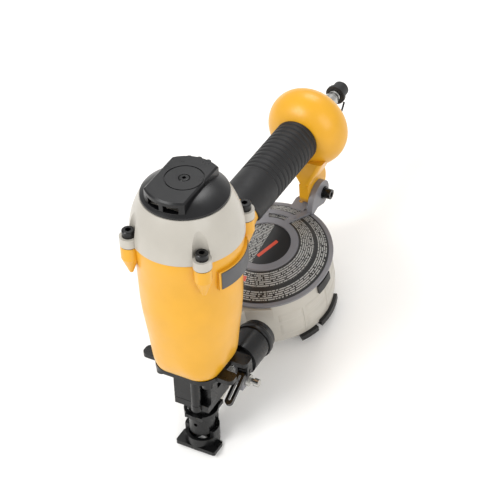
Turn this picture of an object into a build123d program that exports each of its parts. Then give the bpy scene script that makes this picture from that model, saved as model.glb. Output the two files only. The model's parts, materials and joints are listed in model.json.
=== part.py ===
"""Coil nailer: a compressed-air nail gun with a drum magazine, made as separate pieces.

Everything is modelled in the tool's own frame, in millimetres. The driver moves along Z at
x = y = 0, the sole of the contact foot is z = 0, the handle runs along +Y and +X is the side
with the feed cylinder. `save` then leans each piece back onto the foot's heel and the drum's
rear pad, which is how the tool rests on a bench, with +Z up.
"""

import os
from math import cos, radians, sin

from build123d import *

# --- Driving dimensions -------------------------------------------------------------------
LEAN = 18.6  # how far the tool leans back at rest, degrees
HEEL_Y = 1.4  # where the sole ends and the heel's bevel starts
MIDDLE_X, MIDDLE_Y = -1.4, 145.34  # middle of the leaning tool, seen from its heel
GAP = 0.05  # running clearance on a radius

# Head: height, half width and corner radius of each section of the barrel
BARREL = [
    (92.0, 26.0, 15.0),
    (100.0, 30.0, 23.0),
    (113.0, 33.0, 30.0),
    (135.0, 36.3, 35.3),
    (168.0, 38.8, 38.0),
    (204.0, 41.0, 40.5),
    (214.0, 41.5, 41.0),
]
BODY_TOP = 214.0
BODY_BOTTOM = 92.0
SCREW_X, SCREW_Y, EAR_R = 30.5, 32.2, 6.8
EAR_BOTTOM = 203.0
EAR_ROOT = 14.0
GASKET = 0.9
CAP_BASE = BODY_TOP + GASKET
CAP_TOP = 249.0
SCREW_SEAT = 222.4
CAP_BORE_R = 34.0
SPRING_SEAT = 227.9
DEFLECTOR_BASE = CAP_TOP + 0.3
DEFLECTOR_TOP = 262.5
DEFLECTOR_R = 32.9
HOOD_R = 29.3
HOOD_BUMPS = (80, 96, 112)
BADGE_Z, BADGE_HEIGHT = 186.5, 17.0
BADGE_R = 43.4

# Drive
SLEEVE_R, SLEEVE_BORE = 25.5, 23.0
SLEEVE_BOTTOM, SLEEVE_TOP = 98.0, 205.0
SLEEVE_FLANGE_Z = 150.0
BUMPER_HEIGHT = 14.0
PISTON_Z, PISTON_HEIGHT = 190.0, 13.0
DRIVER_R = 3.2
DRIVER_TIP = 84.0
VALVE_Z = 205.3

# Handle, grip and end cap
HANDLE_Z = 182.0
CORE_R, AIRWAY_R, GRIP_R = 15.4, 11.5, 18.3
GRIP_END = 174.2
BELL_Y, BELL_R = 198.0, 33.4
BELL_BACK = 210.0
END_SCREW_R = 13.45

# Trigger
TRIGGER_Y, TRIGGER_Z = 46.0, 151.0
STEM_Y = 62.0
STEM_TIP = 153.0

# Nose
FLANGE_Z = 88.0
NOSE_BOTTOM = 46.0
NOSE_TIP = 14.0
TUBE_Y, TUBE_R = 3.0, 10.4
NOSE_HALF, NOSE_FRONT, NOSE_BACK = 15.0, -11.0, 22.0
DOOR_BOTTOM, DOOR_TOP = 52.4, 77.6
HINGE_X, HINGE_Y, HINGE_R = 4.5, -11.0, 4.2
KNUCKLE_Z = 46.3
LATCH_X, LATCH_Y, LATCH_Z = 35.3, 12.0, 82.0
LATCH_SLOPE = 27.0

# Contact trip
FOOT_HALF, FOOT_FRONT, FOOT_BACK, SOLE = 17.5, -10.7, 4.4, 3.4
YOKE_TOP, YOKE_THICK = 36.0, 3.5
ARM_X, ARM_Y, ARM_R = -36.5, 25.0, 2.2
ARM_FOOT_Z = 33.7
GUIDE_Z = 133.0
WHEEL_Z, WHEEL_R, WHEEL_HEIGHT = 106.0, 6.2, 6.0

# Feed cylinder, parallel to Y
FEED_X, FEED_Z, FEED_R = 23.0, 75.5, 14.5
FEED_FRONT, FEED_BACK = 26.7, 61.4
BOLT_Y, BOLT_Z = 21.8, 61.6

# Drum magazine: its lid's rim plane rises towards the rear
DRUM_TILT = 13.0
RIM_CENTRE = (-1.4, 119.5, 105.0)
RIM_R, WALL_R, FLOOR_R = 54.3, 51.6, 49.3
DRUM_TOP, DRUM_BEND, DRUM_FLOOR = -2.6, -36.0, -54.0
THROAT_LEFT, THROAT_RIGHT, THROAT_END = -10.0, 8.0, -114.0
THROAT_FRONT = 22.5
PLATFORM = -48.0
WALL = 2.4
THROAT_HOLLOW = 43.0
RING_OUT, RING_IN, RING_TOP = 27.3, 21.7, 12.8
PIN_X, PIN_Y = 3.6, 58.4
STRUT_Y, STRUT_Z = 189.3, 124.3
STRUT_BACK, STRUT_FACE = 11.3, 16.0

# --- Planes and axes ----------------------------------------------------------------------
FLOOR = Plane(
    origin=(0, HEEL_Y, 0),
    x_dir=(1, 0, 0),
    z_dir=(0, -sin(radians(LEAN)), cos(radians(LEAN))),
)
STAND = Location((-MIDDLE_X, -MIDDLE_Y, 0), (-LEAN, 0, 0)) * Location((0, -HEEL_Y, 0))
DRUM = Plane(
    origin=RIM_CENTRE,
    x_dir=(1, 0, 0),
    z_dir=(0, -sin(radians(DRUM_TILT)), cos(radians(DRUM_TILT))),
)
DRUM_SIDE = Plane(origin=RIM_CENTRE, x_dir=(1, 0, 0), z_dir=-DRUM.y_dir)
DRUM_CUT = Plane(origin=RIM_CENTRE, x_dir=DRUM.y_dir, z_dir=(1, 0, 0))
DRUM_AXIS = Axis(DRUM.origin, DRUM.z_dir)
HANDLE_SIDE = Plane(origin=(0, 0, HANDLE_Z), x_dir=(0, 1, 0), z_dir=(1, 0, 0))
LATCH = Plane(
    origin=(LATCH_X, LATCH_Y, LATCH_Z),
    x_dir=(0, -cos(radians(LATCH_SLOPE)), -sin(radians(LATCH_SLOPE))),
    z_dir=(0, -sin(radians(LATCH_SLOPE)), cos(radians(LATCH_SLOPE))),
)
HANDLE_AXIS = Axis((0, 0, HANDLE_Z), (0, 1, 0))
GRIP_FRONT = Plane(origin=(0, 75, HANDLE_Z), x_dir=(1, 0, 0), z_dir=(0, 0.894, 0.447))
CAP_SCREWS = [(x, y) for x in (-SCREW_X, SCREW_X) for y in (-SCREW_Y, SCREW_Y)]
NOSE_BOLTS = [(x, y) for x in (-20, 20) for y in (-18, 18)]
BASE = (Align.CENTER, Align.CENTER, Align.MIN)


def save(piece: Part, label: str) -> None:
    """Lean the piece back into its resting place, label it and write its STEP file."""
    placed = piece.moved(STAND)
    placed.label = label
    export_step(placed, f"parts/{label}.step")


def along_y(x: float, y: float, z: float) -> Plane:
    """Give the plane at a point whose normal is +Y."""
    return Plane(origin=(x, y, z), x_dir=(1, 0, 0), z_dir=(0, 1, 0))


def along_x(x: float, y: float, z: float) -> Plane:
    """Give the plane at a point whose normal is +X."""
    return Plane(origin=(x, y, z), x_dir=(0, 1, 0), z_dir=(1, 0, 0))


def span(low: tuple, high: tuple, mode: Mode = Mode.ADD) -> None:
    """Add or cut the box between two opposite corners in the open part."""
    middle = [(a + b) / 2 for a, b in zip(low, high)]
    size = [b - a for a, b in zip(low, high)]
    with Locations(Location(tuple(middle))):
        Box(*size, mode=mode)


def sector(inner: float, outer: float, start: float, end: float) -> Sketch:
    """Draw the piece of a ring between two angles, in degrees."""
    with BuildSketch(Plane.XY) as piece:
        with BuildLine():
            far = CenterArc((0, 0), outer, start, end - start)
            near = CenterArc((0, 0), inner, start, end - start)
            Line(far @ 0, near @ 0)
            Line(far @ 1, near @ 1)
        make_face()
    return piece.sketch_local


def throat_outline(inset: float, shoulder: tuple) -> Sketch:
    """Draw the throat's plan, made smaller by a wall, with its shoulder's outer corner."""
    with BuildSketch(Plane.XY) as plan:
        Polygon(
            (THROAT_RIGHT - inset, THROAT_END),
            (THROAT_RIGHT - inset, -56 + inset / 2),
            shoulder,
            (0, -30),
            (THROAT_LEFT + inset, -48),
            (THROAT_LEFT + inset, THROAT_END),
            align=None,
        )
    return plan.sketch_local


def coil(base: Plane, radius: float, wire: float, height: float, turns: float) -> Part:
    """Make a helical spring standing on a plane, with its ends inside the height."""
    rise = height - 2 * wire
    with BuildPart() as spring:
        with BuildLine():
            foot = base.offset(wire).origin
            path = Helix(rise / turns, rise, radius, center=foot, direction=base.z_dir)
        with BuildSketch(Plane(origin=path @ 0, z_dir=path % 0)):
            Circle(wire)
        sweep(path=path)
    return spring.part


os.makedirs("parts", exist_ok=True)

# --- Head ---------------------------------------------------------------------------------
with BuildPart() as body_housing:
    for height, half, corner in BARREL:
        with BuildSketch(Plane.XY.offset(height)):
            RectangleRounded(2 * half, 2 * half, corner)
    loft()
    # screw ears that grow out of the barrel under the cap
    with Locations(*[(x, y, EAR_BOTTOM - EAR_ROOT) for x, y in CAP_SCREWS]):
        Cone(1.5, EAR_R, EAR_ROOT, align=BASE)
    with Locations(*[(x, y, EAR_BOTTOM) for x, y in CAP_SCREWS]):
        Cylinder(EAR_R, BODY_TOP - EAR_BOTTOM, align=BASE)
    # neck from the barrel to the handle
    for y, width, height, corner in ((28, 50, 46, 16), (52, 41, 42, 17), (80, 32, 33, 15.9)):
        with BuildSketch(along_y(0, y, HANDLE_Z - 0.5)):
            RectangleRounded(width, height, corner)
    loft()
    split(bisect_by=GRIP_FRONT, keep=Keep.BOTTOM)
    with Locations(along_y(0, 50, HANDLE_Z)):
        Cylinder(CORE_R, GRIP_END - 50, align=BASE)
    # badge panels on both sides
    for side in (0, 180):
        with BuildSketch(Plane.XY.offset(BADGE_Z)):
            add(sector(37, BADGE_R, side - 30, side + 34))
        extrude(amount=BADGE_HEIGHT)
    # trigger lugs and the trigger valve's boss
    for x in (-9.5, 9.5):
        span((x - 1.5, 39, 147), (x + 1.5, 53, 166))
    with Locations((0, STEM_Y, 158)):
        Cylinder(7.5, 14, align=BASE)
    # guide lug for the contact arm
    span((ARM_X - 5, ARM_Y - 4, GUIDE_Z), (-24, ARM_Y + 4, GUIDE_Z + 3.4))
    with Locations((ARM_X, ARM_Y, GUIDE_Z)):
        Cylinder(ARM_R + GAP, 3.4, align=BASE, mode=Mode.SUBTRACT)
    # cylinder bore, return chamber, air chamber and the handle's airway
    with Locations((0, 0, SLEEVE_BOTTOM)):
        Cylinder(SLEEVE_R + GAP, 60, align=BASE, mode=Mode.SUBTRACT)
    with Locations((0, 0, 112)):
        Cylinder(30, SLEEVE_FLANGE_Z - 112, align=BASE, mode=Mode.SUBTRACT)
    with Locations((0, 0, SLEEVE_FLANGE_Z)):
        Cylinder(34.5, BODY_TOP - SLEEVE_FLANGE_Z, align=BASE, mode=Mode.SUBTRACT)
    with Locations(along_y(0, 20, HANDLE_Z)):
        Cylinder(AIRWAY_R, GRIP_END - 20, align=BASE, mode=Mode.SUBTRACT)
    with Locations((0, 0, BODY_BOTTOM)):
        Cylinder(8, 8, align=BASE, mode=Mode.SUBTRACT)
    with Locations((0, STEM_Y, 157)):
        Cylinder(5.5, 16, align=BASE, mode=Mode.SUBTRACT)
    # holes for the cap, nose, handle and trigger fasteners
    with Locations(*[(x, y, 197) for x, y in CAP_SCREWS]):
        Cylinder(2.5, 20, align=BASE, mode=Mode.SUBTRACT)
    with Locations(*[(x, y, BODY_BOTTOM) for x, y in NOSE_BOLTS]):
        Cylinder(2.5, 5.8, align=BASE, mode=Mode.SUBTRACT)
    with Locations(along_y(0, 158, HANDLE_Z)):
        with PolarLocations(END_SCREW_R, 4, 45):
            Cylinder(1.5, 20, align=BASE, mode=Mode.SUBTRACT)
    with Locations(along_x(-12, TRIGGER_Y, TRIGGER_Z)):
        Cylinder(1.95, 24, align=BASE, mode=Mode.SUBTRACT)
save(body_housing.part, "body_housing")

with BuildPart() as side_badges:
    for side in (0, 180):
        with BuildSketch(Plane.XY.offset(BADGE_Z + 1.2)):
            add(sector(BADGE_R, BADGE_R + 0.6, side - 27.5, side + 31.5))
        extrude(amount=BADGE_HEIGHT - 2.4)
save(side_badges.part, "side_badges")

with BuildPart() as cap_gasket:
    with BuildSketch(Plane.XY.offset(BODY_TOP)):
        Circle(41.2)
        with Locations(*CAP_SCREWS):
            Circle(EAR_R - 0.3)
        Circle(34.5, mode=Mode.SUBTRACT)
        with Locations(*CAP_SCREWS):
            Circle(2.6, mode=Mode.SUBTRACT)
    extrude(amount=GASKET)
save(cap_gasket.part, "cap_gasket")

with BuildPart() as cylinder_cap:
    with BuildSketch(Plane.XZ):
        with BuildLine():
            Polyline((42.6, CAP_BASE), (0, CAP_BASE), (0, CAP_TOP), (33.5, CAP_TOP))
            ThreePointArc((33.5, CAP_TOP), (40.4, 233), (42.6, CAP_BASE))
        make_face()
    revolve(axis=Axis.Z)
    with Locations(*[(x, y, CAP_BASE) for x, y in CAP_SCREWS]):
        Cylinder(EAR_R + 0.3, SCREW_SEAT - CAP_BASE, align=BASE)
    # scalloped pockets over the screws
    with Locations(*[(x, y, SCREW_SEAT) for x, y in CAP_SCREWS]):
        Cylinder(7.0, 30, align=BASE, mode=Mode.SUBTRACT)
    # head valve chamber and exhaust ports
    with Locations((0, 0, CAP_BASE)):
        Cylinder(CAP_BORE_R, SPRING_SEAT - CAP_BASE, align=BASE, mode=Mode.SUBTRACT)
    with Locations((0, 0, SPRING_SEAT)):
        Cone(22, 20, 14, align=BASE, mode=Mode.SUBTRACT)
    with Locations((0, 0, 240)):
        with PolarLocations(15, 6):
            Cylinder(4, 12, align=BASE, mode=Mode.SUBTRACT)
    with Locations((0, 0, 240)):
        Cylinder(2.5, 12, align=BASE, mode=Mode.SUBTRACT)
    with Locations(*[(x, y, CAP_BASE) for x, y in CAP_SCREWS]):
        Cylinder(2.6, 12, align=BASE, mode=Mode.SUBTRACT)
save(cylinder_cap.part, "cylinder_cap")

with BuildPart() as cap_screws:
    with Locations(*[(x, y, SCREW_SEAT) for x, y in CAP_SCREWS]):
        Cylinder(4.9, 5.6, align=BASE)
    chamfer(cap_screws.faces().sort_by(Axis.Z)[-4:].edges(), length=0.6)
    with Locations(*[(x, y, 198) for x, y in CAP_SCREWS]):
        Cylinder(2.5, SCREW_SEAT - 198, align=BASE)
    for x, y in CAP_SCREWS:
        with BuildSketch(Plane.XY.offset(SCREW_SEAT + 5.6)):
            with Locations((x, y)):
                RegularPolygon(2.4, 6)
        extrude(amount=-3, mode=Mode.SUBTRACT)
save(cap_screws.part, "cap_screws")

with BuildPart() as deflector:
    with BuildSketch(Plane.XZ):
        with BuildLine():
            Polyline(
                (0, 258),
                (0, DEFLECTOR_BASE),
                (DEFLECTOR_R, DEFLECTOR_BASE),
                (DEFLECTOR_R, DEFLECTOR_BASE + 1.6),
            )
            ThreePointArc((DEFLECTOR_R, DEFLECTOR_BASE + 1.6), (22, 256.6), (0, 258))
        make_face()
    revolve(axis=Axis.Z)
    # raised hood that turns the exhaust forwards
    with BuildSketch(Plane.XY.offset(DEFLECTOR_BASE)):
        with Locations((0, -1.7)):
            Circle(HOOD_R)
        with Locations((-2.8, 0)):
            Rectangle(36.2, 64, mode=Mode.INTERSECT)
    extrude(amount=DEFLECTOR_TOP - DEFLECTOR_BASE)
    chamfer(deflector.faces().sort_by(Axis.Z)[-1].edges(), length=1.2)
    # finger bumps at the rear
    with BuildSketch(Plane.XY.offset(DEFLECTOR_BASE + 2)):
        with Locations(*[(27 * cos(radians(a)), 27 * sin(radians(a))) for a in HOOD_BUMPS]):
            Circle(2.4)
    extrude(amount=DEFLECTOR_TOP - DEFLECTOR_BASE - 3.6)
    with Locations((0, 0, DEFLECTOR_BASE)):
        Cylinder(22, 4, align=BASE, mode=Mode.SUBTRACT)
    span((-17, -26, DEFLECTOR_BASE), (12, -8, 258.6), Mode.SUBTRACT)
    for x in (-9.5, 5.5):
        span((x - 5.8, -34, 253.2), (x + 5.8, -20, 258.6), Mode.SUBTRACT)
    # turned disc on top, with the screw's recess
    with BuildSketch(Plane.XY.offset(DEFLECTOR_TOP)):
        Circle(14.9)
        Circle(14.0, mode=Mode.SUBTRACT)
    extrude(amount=-0.8, mode=Mode.SUBTRACT)
    with Locations((0, 0, 260.5)):
        Cylinder(4.5, 3, align=BASE, mode=Mode.SUBTRACT)
    with Locations((0, 0, DEFLECTOR_BASE)):
        Cylinder(2.6, 20, align=BASE, mode=Mode.SUBTRACT)
save(deflector.part, "deflector")

with BuildPart() as deflector_screw:
    with Locations((0, 0, 242)):
        Cylinder(2.5, 18.6, align=BASE)
    with Locations((0, 0, 260.6)):
        Cylinder(4.2, 2.2, align=BASE)
    fillet(deflector_screw.faces().sort_by(Axis.Z)[-1].edges(), radius=1.2)
    with BuildSketch(Plane.XY.offset(262.8)):
        RegularPolygon(1.6, 6)
    extrude(amount=-1.6, mode=Mode.SUBTRACT)
save(deflector_screw.part, "deflector_screw")

# --- Drive --------------------------------------------------------------------------------
with BuildPart() as cylinder_sleeve:
    with Locations((0, 0, SLEEVE_BOTTOM)):
        Cylinder(SLEEVE_R, SLEEVE_TOP - SLEEVE_BOTTOM, align=BASE)
    with Locations((0, 0, SLEEVE_FLANGE_Z)):
        Cylinder(34.4, 4, align=BASE)
    with Locations((0, 0, SLEEVE_BOTTOM)):
        Cylinder(SLEEVE_BORE, 110, align=BASE, mode=Mode.SUBTRACT)
    # return-air ports
    with Locations((0, 0, 122)):
        for turn in range(0, 180, 45):
            with Locations(Rotation(0, 90, turn)):
                Cylinder(2, 60, mode=Mode.SUBTRACT)
save(cylinder_sleeve.part, "cylinder_sleeve")

with BuildPart() as bumper:
    with Locations((0, 0, SLEEVE_BOTTOM)):
        Cylinder(SLEEVE_BORE - 0.2, BUMPER_HEIGHT, align=BASE)
    fillet(bumper.edges().sort_by(Axis.Z)[-1], radius=3)
    with Locations((0, 0, SLEEVE_BOTTOM)):
        Cylinder(5, BUMPER_HEIGHT, align=BASE, mode=Mode.SUBTRACT)
save(bumper.part, "bumper")

with BuildPart() as drive_piston:
    with Locations((0, 0, PISTON_Z)):
        Cylinder(SLEEVE_BORE - 0.1, PISTON_HEIGHT, align=BASE)
    with BuildSketch(Plane.XY.offset(PISTON_Z + 5)):
        Circle(SLEEVE_BORE)
        Circle(21.4, mode=Mode.SUBTRACT)
    extrude(amount=3, mode=Mode.SUBTRACT)
    with Locations((0, 0, PISTON_Z)):
        Cylinder(DRIVER_R, PISTON_HEIGHT, align=BASE, mode=Mode.SUBTRACT)
    with Locations((0, 0, PISTON_Z + 9)):
        Cylinder(6.5, 4, align=BASE, mode=Mode.SUBTRACT)
save(drive_piston.part, "drive_piston")

with BuildPart() as piston_ring:
    with BuildSketch(Plane.XY.offset(PISTON_Z + 5.1)):
        Circle(SLEEVE_BORE - 0.03)
        Circle(21.4, mode=Mode.SUBTRACT)
    extrude(amount=2.8)
save(piston_ring.part, "piston_ring")

with BuildPart() as driver_blade:
    with Locations((0, 0, DRIVER_TIP)):
        Cylinder(DRIVER_R, PISTON_Z + 9 - DRIVER_TIP, align=BASE)
    with Locations((0, 0, PISTON_Z + 9)):
        Cylinder(6.5, 3.5, align=BASE)
    chamfer(driver_blade.edges().sort_by(Axis.Z)[0], length=0.8)
save(driver_blade.part, "driver_blade")

with BuildPart() as head_valve:
    with Locations((0, 0, VALVE_Z)):
        Cylinder(27, 4, align=BASE)
    with Locations((0, 0, VALVE_Z + 4)):
        Cylinder(20, 6, align=BASE)
    with Locations((0, 0, VALVE_Z + 10)):
        Cylinder(CAP_BORE_R - 0.06, 6, align=BASE)
    with Locations((0, 0, VALVE_Z)):
        Cylinder(8, 16, align=BASE, mode=Mode.SUBTRACT)
    # groove that the spring stands in
    with BuildSketch(Plane.XY.offset(VALVE_Z + 16)):
        Circle(28.5)
        Circle(23.5, mode=Mode.SUBTRACT)
    extrude(amount=-5, mode=Mode.SUBTRACT)
save(head_valve.part, "head_valve")

save(coil(Plane.XY.offset(VALVE_Z + 15.6), 26, 1.2, 6.8, 2.5), "head_valve_spring")

# --- Handle -------------------------------------------------------------------------------
with BuildPart() as grip_sleeve:
    with BuildSketch(HANDLE_SIDE):
        with BuildLine():
            Polyline((60, CORE_R), (GRIP_END, CORE_R), (GRIP_END, GRIP_R), (60, GRIP_R), close=True)
        make_face()
        with Locations(*[(112 + 5.6 * i, GRIP_R) for i in range(10)]):
            Rectangle(2.4, 1.4, mode=Mode.SUBTRACT)
    revolve(axis=HANDLE_AXIS)
    split(bisect_by=GRIP_FRONT, keep=Keep.TOP)
save(grip_sleeve.part, "grip_sleeve")

with BuildPart() as end_cap:
    with BuildSketch(HANDLE_SIDE):
        with BuildLine():
            Polyline((BELL_BACK, 14), (BELL_BACK, 0), (GRIP_END, 0), (GRIP_END, 17.2))
            Spline((GRIP_END, 17.2), (176.8, 23.4), (183.5, 30.4), (BELL_Y, BELL_R))
            ThreePointArc((BELL_Y, BELL_R), (206.3, 28.5), (BELL_BACK, 14))
        make_face()
    revolve(axis=HANDLE_AXIS)
    # leg down to the magazine's strut
    for z, width, depth, x, y in (
        (163, 38, 34, 3, 190),
        (152, 22, 32, 6, 187),
        (140, 9, 31, 7, 186),
    ):
        with BuildSketch(Plane.XY.offset(z)):
            with Locations((x, y)):
                RectangleRounded(width, depth, 4)
    loft()
    with BuildSketch(Plane.YZ.offset(3)):
        with BuildLine():
            Polyline((201, 141), (170.5, 141), (171, 128))
            Spline((171, 128), (177, 119.5), (189, 116.5), (198, 121), (201, 141))
        make_face()
    extrude(amount=8)
    # clearance over the drum's hinge
    with Locations(DRUM.offset(-19)):
        with Locations((PIN_X, PIN_Y, 0)):
            Cylinder(6.5, 22, align=BASE, mode=Mode.SUBTRACT)
    # airway, plug thread, screw holes and strut bolt hole
    with Locations(along_y(0, GRIP_END, HANDLE_Z)):
        Cylinder(AIRWAY_R, 26, align=BASE, mode=Mode.SUBTRACT)
    with Locations(along_y(0, GRIP_END, HANDLE_Z)):
        Cylinder(6.6, 40, align=BASE, mode=Mode.SUBTRACT)
    with Locations(along_y(0, GRIP_END, HANDLE_Z)):
        with PolarLocations(END_SCREW_R, 4, 45):
            Cylinder(1.5, 40, align=BASE, mode=Mode.SUBTRACT)
    with Locations(along_y(0, 206, HANDLE_Z)):
        with PolarLocations(END_SCREW_R, 4, 45):
            Cylinder(2.8, 10, align=BASE, mode=Mode.SUBTRACT)
    with Locations(along_x(0, STRUT_Y, STRUT_Z)):
        Cylinder(3, 20, align=BASE, mode=Mode.SUBTRACT)
save(end_cap.part, "end_cap")

with BuildPart() as end_cap_screws:
    with Locations(along_y(0, 206, HANDLE_Z)):
        with PolarLocations(END_SCREW_R, 4, 45):
            Cylinder(2.7, 3, align=BASE)
    with Locations(along_y(0, 160, HANDLE_Z)):
        with PolarLocations(END_SCREW_R, 4, 45):
            Cylinder(1.5, 46, align=BASE)
save(end_cap_screws.part, "end_cap_screws")

with BuildPart() as air_plug:
    with BuildSketch(HANDLE_SIDE):
        with BuildLine():
            Polyline(
                (202, 0),
                (202, 6.6),
                (BELL_BACK, 6.6),
                (BELL_BACK, 7.8),
                (219, 7.8),
                (219, 6.2),
                (224, 6.2),
                (225, 4.8),
                (228, 4.8),
                (229, 6.2),
                (236, 6.2),
                (238, 4.6),
                (241, 4.6),
                (242, 5.0),
                (251, 5.0),
                (252, 4.2),
                (252, 0),
                close=True,
            )
        make_face()
    revolve(axis=HANDLE_AXIS)
    with BuildSketch(along_y(0, BELL_BACK, HANDLE_Z)):
        RegularPolygon(9.4, 6)
    extrude(amount=6.5)
    with Locations(along_y(0, 200, HANDLE_Z)):
        Cylinder(2.8, 60, align=BASE, mode=Mode.SUBTRACT)
save(air_plug.part, "air_plug")

with BuildPart() as dust_cap:
    with BuildSketch(HANDLE_SIDE):
        with BuildLine():
            Polyline(
                (254, 0),
                (254, 5.2),
                (243.5, 5.2),
                (243.5, 8.4),
                (246, 8.4),
                (247, 6.8),
                (255, 6.6),
                (257.5, 4.6),
                (258, 0),
                close=True,
            )
        make_face()
    revolve(axis=HANDLE_AXIS)
save(dust_cap.part, "dust_cap")

with BuildPart() as cap_strap:
    with BuildSketch(along_y(0, 219.2, HANDLE_Z)):
        Circle(8.6)
        Circle(6.3, mode=Mode.SUBTRACT)
    extrude(amount=2)
    with BuildLine():
        strap = Spline((7.2, 220.2, 178.5), (10, 226, 174), (9, 238, 174), (7.6, 244.8, 176.6))
    with BuildSketch(Plane(origin=strap @ 0, z_dir=strap % 0)):
        Circle(0.8)
    sweep(path=strap)
save(cap_strap.part, "cap_strap")

# --- Trigger ------------------------------------------------------------------------------
with BuildPart() as trigger:
    with BuildSketch(Plane.YZ.offset(-7)):
        with BuildLine():
            Polyline((42.5, 151), (46, 155), (52, 152.9), (72, 152.9), (74, 150))
            Spline((74, 150), (66, 146.5), (58, 143), (50, 142.5), (42.5, 151))
        make_face()
    extrude(amount=14)
    with Locations(along_x(-8, TRIGGER_Y, TRIGGER_Z)):
        Cylinder(2.0, 16, align=BASE, mode=Mode.SUBTRACT)
save(trigger.part, "trigger")

with BuildPart() as trigger_pin:
    with Locations(along_x(-11.6, TRIGGER_Y, TRIGGER_Z)):
        Cylinder(1.95, 23.2, align=BASE)
save(trigger_pin.part, "trigger_pin")

with BuildPart() as trigger_valve:
    with Locations((0, STEM_Y, 157.2)):
        Cylinder(5.5, 15, align=BASE)
    with Locations((0, STEM_Y, 156)):
        Cylinder(2.2, 14, align=BASE, mode=Mode.SUBTRACT)
save(trigger_valve.part, "trigger_valve")

with BuildPart() as trigger_stem:
    with Locations((0, STEM_Y, STEM_TIP)):
        Cylinder(2.15, 13, align=BASE)
    fillet(trigger_stem.edges().sort_by(Axis.Z)[0], radius=1)
save(trigger_stem.part, "trigger_stem")

# --- Nose ---------------------------------------------------------------------------------
with BuildPart() as nose_body:
    with BuildSketch(Plane.XY.offset(FLANGE_Z)):
        RectangleRounded(54, 52, 14)
        with Locations((0, -10)):
            RectangleRounded(79, 11, 4)
        with Locations((24, 12)):
            RectangleRounded(33, 12, 4)
    extrude(amount=BODY_BOTTOM - FLANGE_Z)
    span((-NOSE_HALF, NOSE_FRONT, 78), (NOSE_HALF, NOSE_BACK, FLANGE_Z))
    span((-1.8, -6, NOSE_BOTTOM), (NOSE_HALF, NOSE_BACK, FLANGE_Z))
    span((-NOSE_HALF, NOSE_FRONT, NOSE_BOTTOM), (NOSE_HALF, NOSE_BACK, 52))
    with Locations((HINGE_X, HINGE_Y, 78)):
        Cylinder(HINGE_R, 10, align=BASE)
    with Locations((HINGE_X, HINGE_Y, KNUCKLE_Z)):
        Cylinder(HINGE_R, 52 - KNUCKLE_Z, align=BASE)
    with Locations((0, TUBE_Y, NOSE_TIP)):
        Cylinder(TUBE_R, NOSE_BOTTOM - NOSE_TIP, align=BASE)
    # latch lugs under the flange
    for x in (LATCH_X - 4.4, LATCH_X + 4.4):
        span((x - 0.8, 8, 79), (x + 0.8, 16, FLANGE_Z))
    # drive channel, nail window, pawl slot and sight hole
    with Locations((0, 0, 10)):
        Cylinder(DRIVER_R + 0.08, 90, align=BASE, mode=Mode.SUBTRACT)
    span((-1.9, 0, 30), (1.9, 24, 78), Mode.SUBTRACT)
    span((2, 4.5, 59.5), (16, 18, 64.5), Mode.SUBTRACT)
    with Locations(Location((0, -8, 24), (90, 0, 0))):
        Cylinder(1.6, 12, mode=Mode.SUBTRACT)
    with Locations(*[(x, y, FLANGE_Z) for x, y in NOSE_BOLTS]):
        Cylinder(2.6, 6, align=BASE, mode=Mode.SUBTRACT)
    with Locations((HINGE_X, HINGE_Y, KNUCKLE_Z)):
        Cylinder(1.5, 40, align=BASE, mode=Mode.SUBTRACT)
    with Locations(along_x(28, LATCH_Y, LATCH_Z)):
        Cylinder(1.5, 16, align=BASE, mode=Mode.SUBTRACT)
save(nose_body.part, "nose_body")

with BuildPart() as nose_bolts:
    with Locations(*[(x, y, FLANGE_Z) for x, y in NOSE_BOLTS]):
        Cylinder(2.5, 9.5, align=BASE)
    with Locations(*[(x, y, FLANGE_Z - 5) for x, y in NOSE_BOLTS]):
        Cylinder(4.4, 5, align=BASE)
save(nose_bolts.part, "nose_bolts")

with BuildPart() as nose_door:
    span((-NOSE_HALF, NOSE_FRONT, DOOR_BOTTOM), (-2.2, NOSE_BACK, DOOR_TOP))
    span((-NOSE_HALF, NOSE_FRONT, DOOR_BOTTOM), (HINGE_X, -6.4, DOOR_TOP))
    with Locations((HINGE_X, HINGE_Y, DOOR_BOTTOM)):
        Cylinder(HINGE_R, DOOR_TOP - DOOR_BOTTOM, align=BASE)
    with Locations((0, 0, DOOR_BOTTOM)):
        Cylinder(DRIVER_R + 0.08, 30, align=BASE, mode=Mode.SUBTRACT)
    with Locations((HINGE_X, HINGE_Y, DOOR_BOTTOM)):
        Cylinder(1.55, 30, align=BASE, mode=Mode.SUBTRACT)
save(nose_door.part, "nose_door")

with BuildPart() as door_pin:
    with Locations((HINGE_X, HINGE_Y, KNUCKLE_Z)):
        Cylinder(1.5, 39.5, align=BASE)
save(door_pin.part, "door_pin")

with BuildPart() as door_latch:
    with BuildSketch(LATCH.offset(-1.75)):
        with Locations((13.5, 0)):
            SlotOverall(36, 6.4)
        with Locations((17, 0)):
            SlotOverall(22, 2.0, mode=Mode.SUBTRACT)
    extrude(amount=3.5)
    with Locations(along_x(LATCH_X - 3.2, LATCH_Y, LATCH_Z)):
        Cylinder(3.0, 6.4, align=BASE)
        Cylinder(1.55, 6.4, align=BASE, mode=Mode.SUBTRACT)
save(door_latch.part, "door_latch")

with BuildPart() as latch_pin:
    with Locations(along_x(LATCH_X - 5.6, LATCH_Y, LATCH_Z)):
        Cylinder(1.5, 11.2, align=BASE)
save(latch_pin.part, "latch_pin")

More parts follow.
